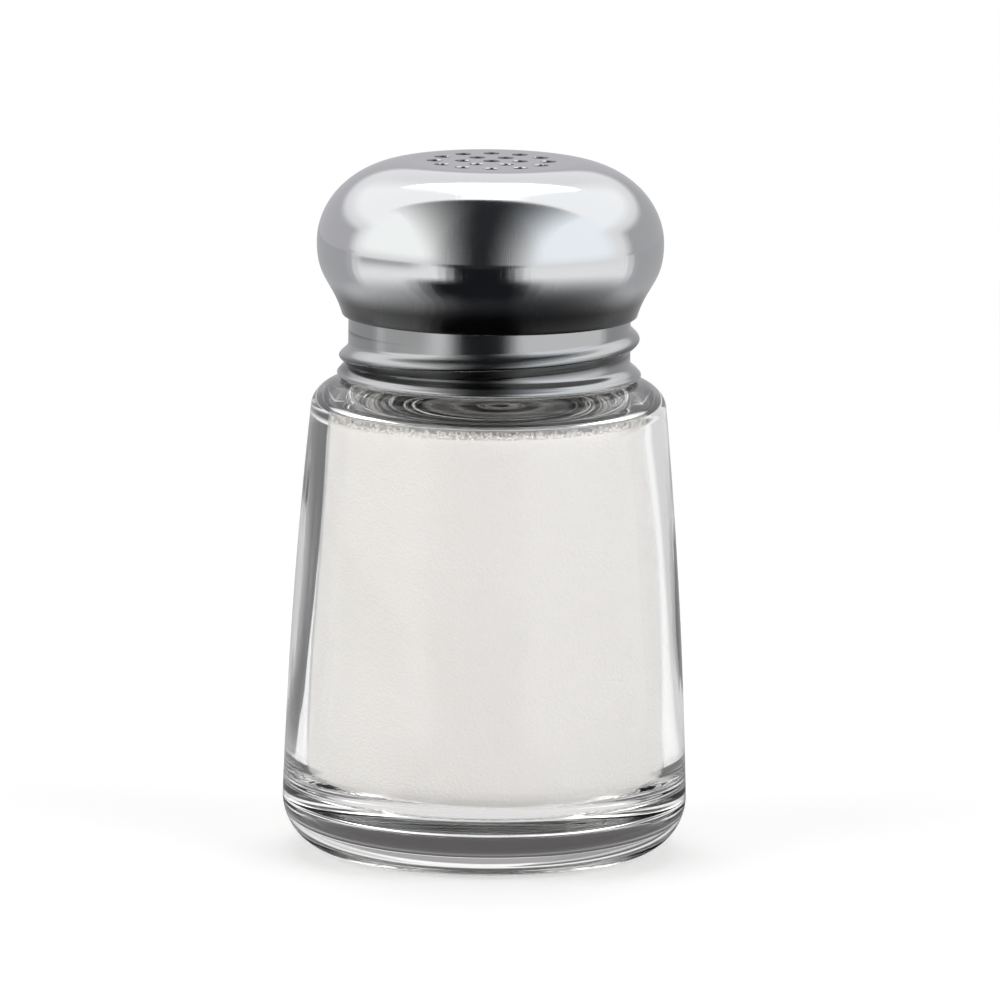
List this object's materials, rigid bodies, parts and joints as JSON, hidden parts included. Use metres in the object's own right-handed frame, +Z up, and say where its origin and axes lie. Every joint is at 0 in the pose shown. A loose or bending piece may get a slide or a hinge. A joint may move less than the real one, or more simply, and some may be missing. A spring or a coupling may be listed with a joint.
{
  "type": "salt shaker",
  "caption": "Clear glass table shaker filled with salt, with a screw-on chromed mushroom cap that has a flat perforated top.",
  "frame": {"origin": "centre of the ring that the jar stands on", "axes": "+Z up along the axis of the jar and cap; X and Y are level, and the shaker is round about Z apart from its screw thread"},
  "size_m": [0.0446, 0.0446, 0.0765],
  "materials": {
    "clear_glass": "clear moulded soda glass, smooth and glossy",
    "salt": "fine white table salt, matt and granular",
    "white_plastic": "soft white washer, matt",
    "chromed_steel": "bright chromed pressed steel with fine handling scratches"
  },
  "bodies": {
    "jar": {"glass_jar": "clear_glass", "salt_fill": "salt"},
    "washer": {"seal_washer": "white_plastic"},
    "cap": {"threaded_skirt": "chromed_steel", "perforated_dome": "chromed_steel"}
  },
  "joints": [
    {"name": "cap_lift", "type": "slide", "parent": "jar", "child": "washer", "axis": [0, 0, 1], "range_m": [0, 0.0128]},
    {"name": "cap_turn", "type": "hinge", "parent": "washer", "child": "cap", "pos_m": [0, 0, 0.0595], "axis": [0, 0, 1], "range_deg": [0, 1080]}
  ],
  "couplings": [
    {"joint": "cap_lift", "follows": "cap_turn", "m_per_rad": 0.0006737}
  ]
}
